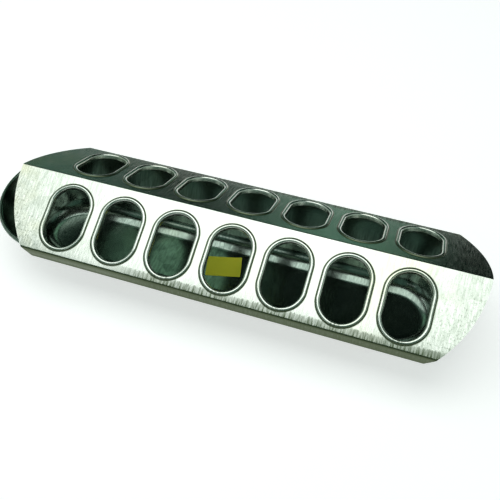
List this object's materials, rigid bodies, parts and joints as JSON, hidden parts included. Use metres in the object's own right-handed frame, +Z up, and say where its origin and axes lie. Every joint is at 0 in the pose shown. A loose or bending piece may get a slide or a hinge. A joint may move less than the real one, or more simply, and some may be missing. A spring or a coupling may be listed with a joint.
{
  "type": "poultry ground feeder",
  "caption": "Ground feeder for chicks: a long shallow trough of galvanised sheet with round ends and a rolled rim, under a folded cover with round-ended feeding holes that slides along it.",
  "frame": {"origin": "on the ground under the middle of the trough's floor", "axes": "+X along the trough, towards the end that the cover stands nearer to; +Y across it, from the front slope to the rear slope; +Z up"},
  "size_m": [0.3182, 0.0968, 0.0582],
  "materials": {
    "trough_galvanised": "galvanised sheet, satin, pressed",
    "cover_galvanised": "galvanised sheet, satin, folded"
  },
  "bodies": {
    "trough": {"trough_pan": "trough_galvanised"},
    "cover": {"sliding_cover": "cover_galvanised"}
  },
  "joints": [
    {"name": "cover_slide", "type": "slide", "parent": "trough", "child": "cover", "axis": [1, 0, 0], "range_m": [-0.209, 0.191]}
  ]
}
